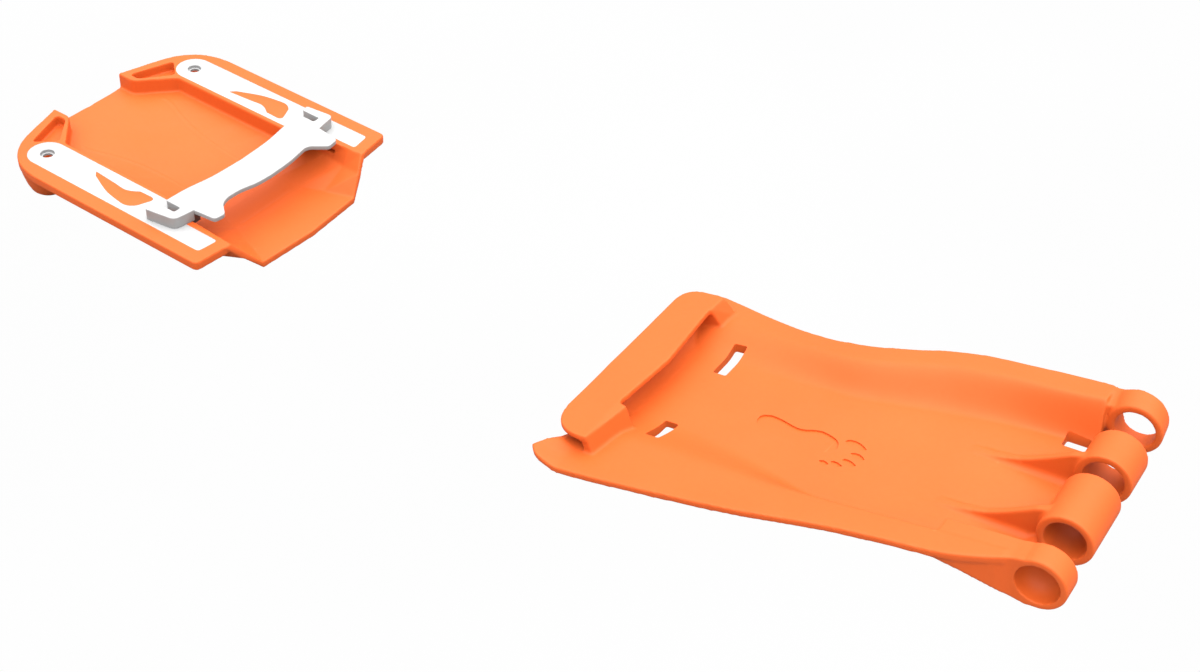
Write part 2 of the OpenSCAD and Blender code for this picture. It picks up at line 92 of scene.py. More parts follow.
# foot plate: knuckles are (y from, y to) along the hinge
PLATE_T, CATCH_TOP, CATCH_T = 3.5, 15.0, 3.0
HEEL_CURL = 5.0
KNUCKLE_R = 12.0
KNUCKLE_RIGHT_END, KNUCKLE_RIGHT = (-48.5, -36.9), (-20.8, 9.3)
KNUCKLE_LEFT, KNUCKLE_LEFT_END = (20.6, 40.3), (57.3, 67.8)
SOLE_PRESS, TOE_PRESS, TOE_REACH = 0.85, 0.75, 2.6


# ------------------------------------------------------------ curves and outlines
def smoothstep(t):
    t = min(max(t, 0.0), 1.0)
    return t * t * (3 - 2 * t)


def curve(*knots):
    """Smooth cubic through (x, value) knots, as a function of x; flat past the ends."""
    def slope(k):
        a, b = max(k - 1, 0), min(k + 1, len(knots) - 1)
        return (knots[b][1] - knots[a][1]) / (knots[b][0] - knots[a][0])

    def value(x):
        i = 0
        while i < len(knots) - 2 and x >= knots[i + 1][0]:
            i += 1
        span = knots[i + 1][0] - knots[i][0]
        u = min(max((x - knots[i][0]) / span, 0.0), 1.0)
        rise0, rise1 = slope(i) * span, slope(i + 1) * span
        return ((2 * u**3 - 3 * u**2 + 1) * knots[i][1] + (u**3 - 2 * u**2 + u) * rise0
                + (3 * u**2 - 2 * u**3) * knots[i + 1][1] + (u**3 - u**2) * rise1)

    return value


def sample(function, start, span, steps):
    return [(x, function(x)) for x in (start + span * k / steps for k in range(steps + 1))]


def bend(start, pull, end, steps):
    """Quadratic curve from start to end, drawn toward pull."""
    return [tuple(start * (1 - t) ** 2 + pull * 2 * t * (1 - t) + end * t * t)
            for t in np.linspace(0, 1, steps + 1)]


def corner(before, at, after, setback, steps=6):
    """Rounded corner at a point, starting and ending a setback away from it."""
    before, at, after = (np.array(p, float) for p in (before, at, after))
    u = (before - at) / np.linalg.norm(before - at)
    v = (after - at) / np.linalg.norm(after - at)
    return bend(at + u * setback, at, at + v * setback, steps)


def rounded(outline, setbacks, steps=6):
    points = []
    for i, setback in enumerate(setbacks):
        after = outline[(i + 1) % len(outline)]
        points += corner(outline[i - 1], outline[i], after, setback, steps)
    return points


def rectangle(x, y, half_x, half_y):
    """Rectangle about a centre, with rounded corners."""
    corners = [(-half_x, -half_y), (half_x, -half_y), (half_x, half_y), (-half_x, half_y)]
    return [(px + x, py + y) for px, py in rounded(corners, [1.2] * 4)]


def mirrored_outline(outline):
    return [(x, -y) for x, y in outline][::-1]


def tidy(outline, tolerance=1e-4):
    """The outline without repeated points, anticlockwise."""
    points = []
    for x, y in outline:
        if not points or math.hypot(x - points[-1][0], y - points[-1][1]) > tolerance:
            points.append((float(x), float(y)))
    if math.hypot(points[0][0] - points[-1][0], points[0][1] - points[-1][1]) < tolerance:
        points.pop()
    doubled_area = sum(points[i - 1][0] * points[i][1] - points[i][0] * points[i - 1][1]
                       for i in range(len(points)))
    return points[::-1] if doubled_area < 0 else points


def inset(outline, distance):
    """The outline moved inward; sharp corners are held back from running far in."""
    points = []
    for i, at in enumerate(outline):
        before, at, after = (np.array(outline[(i + k) % len(outline)]) for k in (-1, 0, 1))
        u, w = at - before, after - at
        u, w = u / np.linalg.norm(u), w / np.linalg.norm(w)
        normal_u, normal_w = np.array([-u[1], u[0]]), np.array([-w[1], w[0]])
        middle = normal_u + normal_w
        length = np.linalg.norm(middle)
        if length < 1e-6:
            points.append(tuple(at + normal_u * distance))
            continue
        middle /= length
        points.append(tuple(at + middle * distance / max(middle @ normal_u, 0.35)))
    return points


# ------------------------------------------------------------ solids: (points, faces)
def merge(*solids):
    points, faces = [], []
    for solid_points, solid_faces in solids:
        offset = len(points)
        points += [tuple(map(float, p)) for p in solid_points]
        faces += [[offset + i for i in face] for face in solid_faces]
    return points, faces


def mirrored(solid):
    points, faces = solid
    return [(x, -y, z) for x, y, z in points], [face[::-1] for face in faces]


def both_sides(*solids):
    half = merge(*solids)
    return merge(half, mirrored(half))


def side_quads(ring_count, size, upward=False):
    """Quads between rings; upward is for rings anticlockwise about their direction."""
    quads = []
    for start in range(0, (ring_count - 1) * size, size):
        for j in range(size):
            here, after = start + j, start + (j + 1) % size
            quads.append([here, after, after + size, here + size] if upward
                         else [here, here + size, after + size, after])
    return quads


def skin(rings, upward=False):
    """Skin over rings, with one face across each end."""
    size = len(rings[0])
    points = [p for ring in rings for p in ring]
    first, last = list(range(size)), list(range(len(points) - size, len(points)))
    first, last = (first[::-1], last) if upward else (first, last[::-1])
    return points, [first] + side_quads(len(rings), size, upward) + [last]


def loft(rings):
    """Skin over rings that run along their top and back along their bottom."""
    size = len(rings[0])
    end = (len(rings) - 1) * size
    faces = []
    for j in range(size // 2 - 1):
        faces.append([j, j + 1, size - 2 - j, size - 1 - j])
        faces.append([end + size - 1 - j, end + size - 2 - j, end + j + 1, end + j])
    return [p for ring in rings for p in ring], faces + side_quads(len(rings), size)


def block(bottom, top):
    """Block from its four bottom and four top corners."""
    return loft([bottom[::-1], top[::-1]])


def prism(outline, z0, z1):
    outline = tidy(outline)
    size = len(outline)
    points = [(x, y, z) for z in (z0, z1) for x, y in outline]
    caps = [list(range(size))[::-1], list(range(size, 2 * size))]
    return points, caps + side_quads(2, size, upward=True)


def soft_prism(outline, z0, z1, top_r, bottom_r, steps):
    """Prism with rounded rims."""
    outline = tidy(outline)

    def rim(radius):
        """(inset, distance from the end face) from the wall to the end face."""
        if not radius:
            return [(0.0, 0.0)]
        angles = [math.pi / 2 * k / steps for k in range(steps + 1)]
        return [(radius * (1 - math.cos(a)), radius * (1 - math.sin(a))) for a in angles]

    levels = [(inward, z0 + away) for inward, away in rim(bottom_r)[::-1]]
    levels += [(inward, z1 - away) for inward, away in rim(top_r)]
    return skin([[(x, y, z) for x, y in (inset(outline, inward) if inward else outline)]
                 for inward, z in levels], upward=True)


def across(y0, y1, profile):
    """Prism along Y from an X-Z profile."""
    points, faces = prism(profile, y0, y1)
    return [(x, z, y) for x, y, z in points], [face[::-1] for face in faces]


def circle(radius, count):
    angles = [2 * math.pi * k / count for k in range(count)]
    return [(radius * math.cos(a), radius * math.sin(a)) for a in angles]


def turned_y(profile):
    """Solid of revolution about the Y axis; profile of (radius, y)."""
    return skin([[(x, y, z) for x, z in circle(r, 128)] for r, y in profile])


def turned_z(profile, y, count):
    """Solid of revolution about a vertical axis at (0, y); profile of (radius, z)."""
    return skin([[(dx, y + dy, z) for dx, dy in circle(r, count)] for r, z in profile],
                upward=True)


def bead(path, radius=0.8, count=10, end_scale=0.55):
    """Round bar swept along a list of points, thinner at its ends."""
    path = np.array(path, float)
    last = len(path) - 1
    rings = []
    for i, centre in enumerate(path):
        along = path[min(i + 1, last)] - path[max(i - 1, 0)]
        along /= np.linalg.norm(along)
        side = np.cross(along, [0, 0, 1.0])
        side /= np.linalg.norm(side)
        up = np.cross(side, along)
        r = radius * (end_scale if i in (0, last) else 1.0)
        rings.append([tuple(centre + r * (c * side + s * up)) for c, s in circle(1.0, count)])
    return skin(rings)


# ------------------------------------------------------------ objects
def mesh_object(name, *solids):
    points, faces = merge(*solids)
    mesh = bpy.data.meshes.new(name)
    mesh.from_pydata(points, [], faces)
    mesh.update()
    bm = bmesh.new()
    bm.from_mesh(mesh)
    bmesh.ops.recalc_face_normals(bm, faces=bm.faces)
    bm.to_mesh(mesh)
    bm.free()
    mesh.update()
    piece = bpy.data.objects.new(name, mesh)
    bpy.context.scene.collection.objects.link(piece)
    return piece


def modify(piece, kind, **settings):
    """Add a modifier and apply it at once."""
    modifier = piece.modifiers.new(kind.lower(), kind)
    for key, value in settings.items():
        setattr(modifier, key, value)
    depsgraph = bpy.context.evaluated_depsgraph_get()
    mesh = bpy.data.meshes.new_from_object(piece.evaluated_get(depsgraph))
    piece.modifiers.clear()
    old = piece.data
    piece.data = mesh
    if old.users == 0:
        bpy.data.meshes.remove(old)


def voxel(piece, size):
    modify(piece, "REMESH", mode="VOXEL", voxel_size=size)


def boolean(piece, operation, *solids):
    tool = mesh_object("cutter", *solids)
    modify(piece, "BOOLEAN", operation=operation, solver="EXACT", object=tool)
    bpy.data.objects.remove(tool)


def cut(piece, *solids):
    boolean(piece, "DIFFERENCE", *solids)


def blend_moulding(piece, voxel_size):
    """Remesh and soften the moulding, so its edges and joints are rounded."""
    voxel(piece, voxel_size)
    modify(piece, "SMOOTH", factor=0.5, iterations=3)


def finish_piece(piece, place, body, material, node, sharp_deg=30):
    """Place a piece, shade it, attach it to its body and hide its CAD node in its place."""
    mesh = piece.data
    mesh.transform(place)
    mesh.polygons.foreach_set("use_smooth", [True] * len(mesh.polygons))
    mesh.set_sharp_from_angle(angle=math.radians(sharp_deg))
    mesh.update()
    mesh.materials.clear()
    mesh.materials.append(MATERIALS[material])
    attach(piece, body)
    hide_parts(node)


# ------------------------------------------------------------ materials
MIX_A, MIX_B, MIX_RESULT = 6, 7, 2  # colour sockets of the Mix node


def set_inputs(tree, node, inputs):
    """Link the sockets given and set the plain values."""
    for key, value in inputs.items():
        if isinstance(value, bpy.types.NodeSocket):
            tree.links.new(value, node.inputs[key])
        else:
            node.inputs[key].default_value = value


def add_node(tree, kind, inputs=None, **settings):
    node = tree.nodes.new("ShaderNode" + kind)
    for key, value in settings.items():
        setattr(node, key, value)
    set_inputs(tree, node, inputs or {})
    return node


def calculate(tree, operation, *values):
    return add_node(tree, "Math", dict(enumerate(values)), operation=operation).outputs[0]


def noise(tree, coords, scale, detail, roughness=0.5):
    return add_node(tree, "TexNoise", {"Scale": scale, "Detail": detail, "Vector": coords,
                                       "Roughness": roughness}).outputs["Fac"]


def ramp(tree, factor, stops):
    """Colour ramp through (position, (r, g, b)) stops."""
    node = add_node(tree, "ValToRGB", {"Fac": factor})
    elements = node.color_ramp.elements
    elements[0].position, elements[0].color = stops[0][0], (*stops[0][1], 1)
    elements[1].position, elements[1].color = stops[-1][0], (*stops[-1][1], 1)
    for position, colour in stops[1:-1]:
        elements.new(position).color = (*colour, 1)
    return node.outputs["Color"]


def map_range(tree, value, from_min, from_max, to_min, to_max):
    return add_node(tree, "MapRange", {
        "From Min": from_min, "From Max": from_max,
        "To Min": to_min, "To Max": to_max, "Value": value}).outputs[0]


def bump_normal(tree, height, strength, distance):
    return add_node(tree, "Bump", {"Strength": strength, "Distance": distance,
                                   "Height": height}).outputs[0]


def mix_colour(tree, factor, colour_a, colour_b):
    return add_node(tree, "Mix", {"Factor": factor, MIX_A: colour_a, MIX_B: (*colour_b, 1)},
                    data_type="RGBA").outputs[MIX_RESULT]


def blank_material(name):
    material = bpy.data.materials.new(name)
    material.use_nodes = True
    material.node_tree.nodes.clear()
    return material, material.node_tree


def surface(tree, inputs):
    """Principled shader on the material output."""
    shader = add_node(tree, "BsdfPrincipled", inputs)
    add_node(tree, "OutputMaterial", {"Surface": shader.outputs[0]})


def plastic(name, dark, base, light, rough, specular, bump, edge, side=None, bounce=None):
    """Moulded plastic. edge: strength of the painted edge highlight; side: brightness of faces
    turned sideways or down, a painted shade; bounce: colour that diffuse rays see."""
    material, tree = blank_material(name)
    coords = add_node(tree, "TexCoord").outputs["Object"]
    # slow colour drift of the moulding and a fine mottle
    drift = calculate(tree, "MULTIPLY", noise(tree, coords, scale=14.0, detail=2.0), 0.75)
    mottle = noise(tree, coords, scale=420.0, detail=4.0, roughness=0.6)
    tone = calculate(tree, "MULTIPLY_ADD", mottle, 0.25, drift)
    colour = ramp(tree, tone, [(0.3, dark), (0.5, base), (0.72, light)])
    # painted highlight: convex edges lightened towards a paler tone, as if light caught them
    geometry = add_node(tree, "NewGeometry")
    convex = ramp(tree, geometry.outputs["Pointiness"], [(0.5, (0, 0, 0)), (0.62, (1, 1, 1))])
    edge_highlight = [min(1.0, c * 1.25 + 0.03) for c in light]
    colour = mix_colour(tree, calculate(tree, "MULTIPLY", convex, edge), colour, edge_highlight)
    # painted shade: faces turned sideways or down are darkened according to their normal
    if side is not None:
        normal = add_node(tree, "SeparateXYZ", {0: geometry.outputs["Normal"]})
        value = map_range(tree, normal.outputs["Z"], from_min=0.15, from_max=0.85,
                          to_min=side, to_max=1.0)
        colour = add_node(tree, "HueSaturation",
                          {"Value": value, "Color": colour}).outputs["Color"]
    if bounce is not None:
        diffuse_ray = add_node(tree, "LightPath").outputs["Is Diffuse Ray"]
        colour = mix_colour(tree, diffuse_ray, colour, bounce)
    # roughness varies with handling marks
    marks = noise(tree, coords, scale=60.0, detail=5.0, roughness=0.62)
    roughness = map_range(tree, marks, from_min=0.25, from_max=0.75,
                          to_min=rough - 0.06, to_max=rough + 0.07)
    # spark-eroded tool texture over a slow waviness
    grain = noise(tree, coords, scale=2600.0, detail=3.0, roughness=0.6)
    waves = noise(tree, coords, scale=90.0, detail=2.0)
    height = calculate(tree, "MULTIPLY_ADD", waves, 0.8, grain)
    surface(tree, {"Base Color": colour, "Roughness": roughness,
                   "Normal": bump_normal(tree, height, strength=bump, distance=0.0004),
                   "Specular IOR Level": specular})
    return material


def metal(name, base, rough):
    material, tree = blank_material(name)
    coords = add_node(tree, "TexCoord").outputs["Object"]
    grain = noise(tree, coords, scale=900.0, detail=4.0, roughness=0.6)
    surface(tree, {
        "Base Color": ramp(tree, grain, [(0.3, [c * 0.8 for c in base]), (0.7, base)]),
        "Roughness": map_range(tree, grain, from_min=0.0, from_max=1.0,
                               to_min=rough - 0.08, to_max=rough + 0.12),
        "Normal": bump_normal(tree, grain, strength=0.05, distance=0.0002),
        "Metallic": 1.0})
    return material


MATERIALS = {
    "orange_nylon": plastic(
        "orange_nylon", dark=(0.86, 0.129, 0.019), base=(0.88, 0.138, 0.022),
        light=(0.90, 0.148, 0.026), rough=0.5, specular=0.3, bump=0.02, edge=0.25,
        bounce=(0.40, 0.112, 0.036)),
    "white_acetal": plastic(
        "white_acetal", dark=(0.51, 0.51, 0.515), base=(0.53, 0.53, 0.53),
        light=(0.55, 0.55, 0.545), rough=0.42, specular=0.3, bump=0.015, edge=0.1, side=0.7),
    "grey_acetal": plastic(
        "grey_acetal", dark=(0.045, 0.045, 0.05), base=(0.055, 0.055, 0.06),
        light=(0.07, 0.07, 0.075), rough=0.4, specular=0.45, bump=0.05, edge=0.4),
    "zinc_steel": metal("zinc_steel", base=(0.62, 0.62, 0.64), rough=0.32),
}


# ------------------------------------------------------------ heel tray
def inner_y(x):
    """Inner edge of the left flange; it steps outward between x = 80 and 82.6."""
    if x <= 80:
        return SCREW_Y - 12.4
    if x < 82.6:
        return SCREW_Y - 12.4 + 5.6 * (x - 80) / 2.6
    return SCREW_Y - 6.8 + 3 * (x - 82.6) / 42


HORN_TIP = (-28.2, 22.9)  # rearmost point of the left side
CHANNEL_FRONT = 124.8     # where the flange's inner edge ends
# Left half of the channel between the flanges, rear to front:
# x, floor edge y and z, wall foot y and z
CHANNEL = [
    (-27.6, 23, -8.7, 38, -8.6), (0, 30, -9, inner_y(0), -8.7),
    (16, 25, -9.9, inner_y(16), -8.8), (32, 20.6, -11, inner_y(32), -8.9),
    (48, 18.8, -12.4, inner_y(48), -9), (65, 18.4, -13.8, inner_y(65), -9),
    (80, 20, -14.6, inner_y(80), -9), (82.6, 20.4, -14.8, inner_y(82.6) - 0.1, -9),
    (90, 21.6, -15.2, inner_y(90) - 0.3, -9),
    (102, 23.2, -FLOOR_DEPTH, inner_y(102) - 1.8, -8.4),
    (116, 29, -FLOOR_DEPTH, inner_y(116) - 4.6, -8.8)]
POCKET = [(-22.4, 26.4), (-16.2, 26.2), (-3.8, 41.8), (-14, 51)]  # left horn pocket, x y
LUG = [(7, BASE_Z), (9.2, -19), (10.9, -15), (12.4, -9), (13.2, -4)]  # radius, z


def rear_corner():
    return corner(HORN_TIP, (-14, TRAY_HALF), (100, TRAY_HALF), TRAY_CORNER_R, 40)


def flange_outline():
    front = CHANNEL_FRONT
    return (corner((0, TRAY_HALF), (FLANGE_FRONT, TRAY_HALF), (front, inner_y(front)), 3)
            + [(front, inner_y(front) + 2), (83.6, inner_y(83.6) + 2),
               (81, inner_y(0) + 2), (3, inner_y(0) + 2)]
            + rear_corner())


def horn_outline():
    return ([HORN_TIP] + corner(HORN_TIP, (-16.9, 22.6), (0, inner_y(0)), 3)
            + [(0, inner_y(0)), (5, inner_y(5) + 2), (0, 56), rear_corner()[0]])


def channel():
    sections = []
    for i, (x, edge_y, edge_z, foot_y, foot_z) in enumerate(CHANNEL):
        middle_z = edge_z - 0.7 * smoothstep(1 - x / 60)
        wall_y = inner_y(max(x, 0))
        wall_z = -6 if i == 0 else 0
        sections.append((
            [(x, 0, middle_z), (x, edge_y, edge_z), (x, foot_y, foot_z), (x, wall_y, wall_z)],
            [(x, 0, middle_z - SHELL_T), (x, edge_y, edge_z - SHELL_T),
             (x, foot_y + SHELL_T, foot_z - SHELL_T), (x, wall_y + SHELL_T, wall_z)]))
    x, y = CHANNEL_FRONT, inner_y(CHANNEL_FRONT)
    sections.append((
        [(133.8, 0, -FLOOR_DEPTH), (131.6, 34.8, -FLOOR_DEPTH), (128, 42.8, -7.8), (x, y, 0)],
        [(133.8, 0, BASE_Z), (131.6, 34.8, BASE_Z), (128, 45, -10.4), (x, y + SHELL_T, 0)]))

    def flip(points):
        return [(x, -y, z) for x, y, z in points]

    return loft([flip(top[1:])[::-1] + top + bottom[::-1] + flip(bottom[1:])
                 for top, bottom in sections])


def lug():
    """Boss round the left screw, cut back above the channel's wall foot."""
    piece = mesh_object("lug", turned_z(LUG, SCREW_Y + 2, 72))
    inner = inner_y(0)
    cut(piece, prism([(-30, inner - 20), (30, inner - 20), (30, inner), (-30, inner)],
                     -9.2, 2.8))
    solid = ([tuple(v.co) for v in piece.data.vertices],
             [list(face.vertices) for face in piece.data.polygons])
    bpy.data.objects.remove(piece)
    return solid


def build_tray():
    sink = 0.42  # of a bead's centre below the floor
    edge_y = curve(*[(s[0], s[1]) for s in CHANNEL[:9]])
    edge_z = curve(*[(s[0], s[2]) for s in CHANNEL[:9]])
    side_bead = bead([(x, edge_y(x), edge_z(x) - sink) for x in np.linspace(-4, 89, 40)])
    front_bead = bead([(102.2, y, -FLOOR_DEPTH - sink) for y in np.linspace(-22.4, 22.4, 12)])
    flange = prism(flange_outline(), -FLANGE_T, 0)
    horn = prism(horn_outline(), -11, 0)
    sides = both_sides(flange, horn, lug(), side_bead)
    tray = mesh_object("heel_tray_moulding", channel(), sides, front_bead)
    voxel(tray, 0.55)
    cut(tray, both_sides(prism(rounded(POCKET, [2.2, 2.2, 2.2, 2.4], 8), -5.5, 4)))
    blend_moulding(tray, 0.5)
    # seats for the rails, then screw holes and a groove in each channel wall
    cut(tray, both_sides(prism(rail_outline(), -RAIL_T, 3)))
    hole = turned_z([(SCREW_R, -30), (SCREW_R, 10)], SCREW_Y, 40)
    groove = prism([(78, 40), (108, 40), (108, 49.6), (78, 49.6)], -6.1, -3.7)
    cut(tray, both_sides(hole), both_sides(groove))
    finish_piece(tray, TRAY_PLACE, "receiver", "orange_nylon", "heel_tray")


# ------------------------------------------------------------ glide rails and inlays
def rail_outline():
    """Left rail: round behind the screw, narrower ahead of x = 82.6."""
    round_end = []
    for k in range(41):
        angle = math.radians(270 - 180 * k / 40)
        round_end.append((RAIL_R * math.cos(angle), SCREW_Y + RAIL_R * math.sin(angle)))
    outer = (RAIL_FRONT, SCREW_Y + RAIL_R)
    return (round_end
            + corner((0, SCREW_Y + RAIL_R), outer, (RAIL_FRONT + 1.5, 52), 2, 8)
            + corner(outer, (RAIL_FRONT + 1.5, 51.6), (82.6, 51.4), 2, 8)
            + [(82.6, 51.4), (78.6, SCREW_Y - RAIL_R)])


def inlay_outline():
    """Comma-shaped inlay of the left rail."""
    outer = curve((33.5, 51.4), (46.9, 57), (55.5, 58.8))
    inner = curve((46, 49.6), (53, 50.2), (57, 48.8), (60.2, 46.6))
    return (corner((41, 49.3), (30.6, 48.4), (33.5, 51.6), 1.2)
            + sample(outer, 33.5, 22, 12)
            + corner((55.5, 58.8), (64.5, 60), (69.5, 53), 5, 10)
            + corner((66, 58), (71.6, 46.3), (60, 46.3), 4.5, 10)
            + sample(inner, 60.2, -14, 8))


def build_rail(name, side):
    """One rail and its inlay; side is 1 for left, -1 for right."""
    strip = soft_prism(rail_outline(), -RAIL_T, 0, top_r=0.12, bottom_r=0.0, steps=2)
    inlay = inlay_outline()
    if side < 0:
        strip, inlay = mirrored(strip), mirrored_outline(inlay)
    rail = mesh_object("glide_rail_" + name + "_strip", strip)
    screw_y = SCREW_Y * side
    cut(rail, turned_z([(3.6, -1.8), (3.6, -0.25), (3.85, 0.01), (3.85, 3)], screw_y, 48))
    cut(rail, turned_z([(SCREW_R, -9), (SCREW_R, 3)], screw_y, 40))
    cut(rail, prism(inlay, -RAIL_T - 2, 3))
    finish_piece(rail, TRAY_PLACE, "receiver", "white_acetal", "glide_rail_" + name)
    key = mesh_object("rail_inlay_" + name + "_key",
                      soft_prism(inlay, -RAIL_T, 0, top_r=0.15, bottom_r=0.0, steps=2))
    finish_piece(key, TRAY_PLACE, "receiver", "orange_nylon", "rail_inlay_" + name)


# ------------------------------------------------------------ latch bar
# Each half, with y outward from the centreline. tooth: x y of its tip, shoulder, low
# corner, hook and root; front: y x of the front edge; end: x y of the outer end's
# rear and front corners
LATCH_LEFT = {
    "tooth": [(112.4, 44.6), (113.2, 37.2), (106.6, 31.8), (104.9, 31), (104.6, 27.5)],
    "front": [(0, 107.2), (14, 106.6), (27.5, 104.6)],
    "end": [(79.2, 58.0), (96.4, 59.9)]}
LATCH_RIGHT = {
    "tooth": [(111.2, 45.5), (112.1, 39.2), (105.4, 33.4), (104.1, 31.8), (103.6, 27.5)],
    "front": [(0, 107.2), (10, 106.4), (20, 104), (27.5, 103.6)],
    "end": [(78.8, 61.0), (96.4, 58.2)]}
LATCH_REAR = curve((0, 86.3), (20, 85.3), (37, 82.6), (46, 82.1))  # x of the rear edge by y


def bar_front(half):
    """Front edge from the end block in to the centreline, with its hooked tooth."""
    tip, shoulder, low, hook, root = half["tooth"]
    front = curve(*half["front"])
    edge = corner((98, 46), tip, shoulder, 2) + corner(tip, shoulder, low, 1.6)
    start = np.array(low) + (np.array(shoulder) - np.array(low)) * 0.12
    edge += bend(start, np.array(hook), np.array(root), 7)
    return edge + [(front(y), y) for y in (root[1] * (1 - k / 12) for k in range(1, 13))]


def end_block(half):
    """Outline of the end block after its inner rear point, notched from the rear."""
    rear, front = half["end"]
    return (corner((82, 46), (82, 49.4), (91.8, 49.4), 0.8)
            + corner((82, 49.4), (91.8, 49.4), (91.8, 53.6), 1)
            + corner((91.8, 49.4), (91.8, 53.6), (80, 53.6), 1)
            + corner((91.8, 53.6), (80.2, 53.6), rear, 1)
            + corner((80.2, 53.6), rear, front, 1.6)
            + corner(rear, front, (98.2, 46.2), 3.4, 10)
            + [(98.2, 46.6)])


def bar_half(half):
    rear = [(x, y) for y, x in sample(LATCH_REAR, 0, 46, 14)]
    return rear + [(82, 48)] + end_block(half) + bar_front(half)


def build_latch():
    outline = bar_half(LATCH_LEFT) + mirrored_outline(bar_half(LATCH_RIGHT))
    bar = mesh_object("latch_crossbar", soft_prism(
        outline, LATCH_TOP - LATCH_T, LATCH_TOP, top_r=0.35, bottom_r=0.2, steps=3))
    for half in (LATCH_LEFT, LATCH_RIGHT):
        foot = soft_prism([(82, 46.6)] + end_block(half), LATCH_GAP,
                          LATCH_TOP - LATCH_T + 0.4, top_r=0.0, bottom_r=0.3, steps=3)
        boolean(bar, "UNION", foot if half is LATCH_LEFT else mirrored(foot))
    finish_piece(bar, TRAY_PLACE, "latch", "white_acetal", "latch_bar")


# ------------------------------------------------------------ foot plate shell
# Distances from the centreline by x, heel to hinge: the outer edge, the shoulder where
# the raised flange begins, and the foot of the slope up to it
left_edge = curve(
    (-221, 69.7), (-207, 70.2), (-172, 62.3), (-150, 58.7), (-128, 59), (-107, 63.4),
    (-87, 69.3), (-70, 71.8), (-54, 71.9), (-32, 71.7), (-18, 71.4), (-9, 69.8))
left_shoulder = curve((-221, 62), (-185, 54), (-150, 50), (-123, 49), (-100, 54.5),
                      (-83, 59.5), (-57, 61), (-32, 60), (-9, 61))
left_foot = curve((-221, 30), (-185, 30), (-150, 31), (-115, 33.5), (-83, 40),
                  (-51, 45.5), (-27, 48.5), (-9, 50))
right_edge = curve(
    (-221, 69), (-216, 74.2), (-209, 75.4), (-198, 74.9), (-164, 72.1), (-125, 68.2),
    (-84, 61.7), (-60, 59.4), (-36, 57.4), (-22, 53.6), (-9, 48.6))
right_shoulder = curve((-221, 48), (-180, 47), (-151, 48), (-123, 49), (-97, 48),
                       (-79, 47.5), (-45, 46.3), (-18, 45.8), (-9, 45.4))
right_foot = curve((-221, 20), (-178, 20), (-146, 23.2), (-122, 29), (-106, 33.6),
                   (-94, 36), (-60, 37.4), (-9, 37.6))
# heights of the flange and of the sole between the slopes, by x
flange_z = curve((-221, 6), (-185, 6), (-125, 7.5), (-60, 9.5), (-9, 10.6))
sole_z = curve((-221, 0.5), (-185, 0), (-150, -1.2), (-115, -3), (-80, -4.3),
               (-50, -5.2), (-15, -7.6), (-8, -8))


def top_z(x, y):
    if y > 0:
        foot, shoulder = left_foot(x), left_shoulder(x)
    else:
        foot, shoulder = right_foot(x), right_shoulder(x)
    slope = smoothstep((abs(y) - foot) / (shoulder - foot))
    return (sole_z(x) + (flange_z(x) - sole_z(x)) * slope
            + HEEL_CURL * smoothstep((-x - 205) / 15) * smoothstep((-y - 50) / 16))


def bottom_z(x, y):
    """Underside; its slopes lie 3 mm further out than those on top."""
    return top_z(x, max(y - 3, 0) if y > 0 else min(y + 3, 0)) - PLATE_T


def ear_x(x, y):
    """The heel edge is cut back under the catch bar and runs out to an ear beside it."""
    return x + smoothstep((-x - 200) / 19.5) * (4.5 - 6.5 * smoothstep((-y - 61) / 8))


def plate_shell(rows=110):
    """Shell from the heel to x = -13, with closer rows over its first tenth."""
    rings = []
    for i in range(rows):
        t = i / (rows - 1)
        x = -219.5 + 206.5 * (t * 0.7 if t < 0.1 else 0.07 + (t - 0.1) * 0.93 / 0.9)
        right = -right_edge(x), -right_shoulder(x), -right_foot(x)
        left = left_foot(x), left_shoulder(x), left_edge(x)
        ys = (list(np.linspace(right[0], right[1], 5))
              + list(np.linspace(right[1], right[2], 14))[1:]
              + list(np.linspace(right[2], left[0], 8))[1:-1]
              + list(np.linspace(left[0], left[1], 14))
              + list(np.linspace(left[1], left[2], 5))[1:])
        rings.append([(ear_x(x, y), y, top_z(x, y)) for y in ys]
                     + [(ear_x(x, y), y, bottom_z(x, y)) for y in ys[::-1]])
    return loft(rings)


# ------------------------------------------------------------ catch bar at the heel
def catch_outline():
    return (corner((-220.5, 0), (-221.5, 58.8), (-199.5, 58.8), 12, 14)
            + corner((-221, 58.8), (-199.6, 59.2), (-200.4, 40), 4, 8)
            + [(-200.6, 44), (-196.8, 4), (-199.4, -32)]
            + corner((-199.4, -32), (-198.4, -61.6), (-219.6, -61.6), 2, 6)
            + corner((-198.4, -61.6), (-219.6, -61.6), (-220.5, 0), 19, 16))


